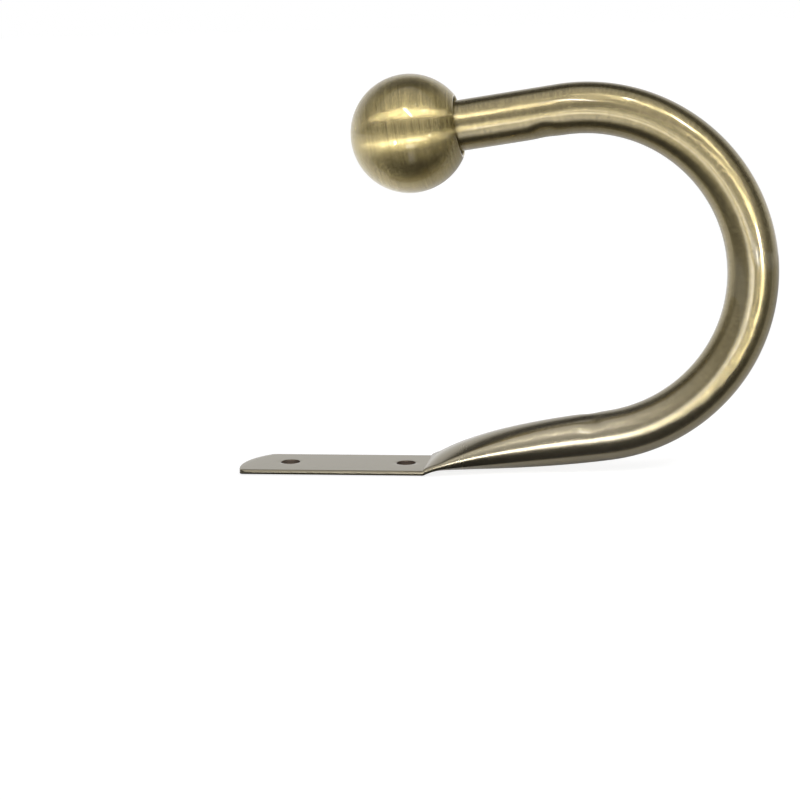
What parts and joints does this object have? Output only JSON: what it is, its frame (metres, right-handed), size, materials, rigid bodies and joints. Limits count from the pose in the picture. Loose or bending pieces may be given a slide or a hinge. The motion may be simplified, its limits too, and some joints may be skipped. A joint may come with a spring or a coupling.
{
  "type": "curtain holdback",
  "caption": "U-shaped curtain holdback bent from one brass-finished tube, pressed flat to a screw strap at one end, with a brushed ball finial at the other.",
  "frame": {"origin": "on the wall face of the strap, midway between the two screw holes", "axes": "+X along the strap towards the bend, +Z out of the wall, +Y across the strap"},
  "size_m": [0.1734, 0.0374, 0.1273],
  "materials": {
    "lacquered_brass": "antique brass, satin under clear lacquer",
    "brushed_brass": "antique brass, brushed round the arm's axis under clear lacquer",
    "bare_steel": "plain turned steel"
  },
  "bodies": {
    "root": {"arm_tube": "lacquered_brass", "ball_finial": "brushed_brass", "end_plug": "bare_steel", "finial_stud": "bare_steel"}
  },
  "joints": []
}
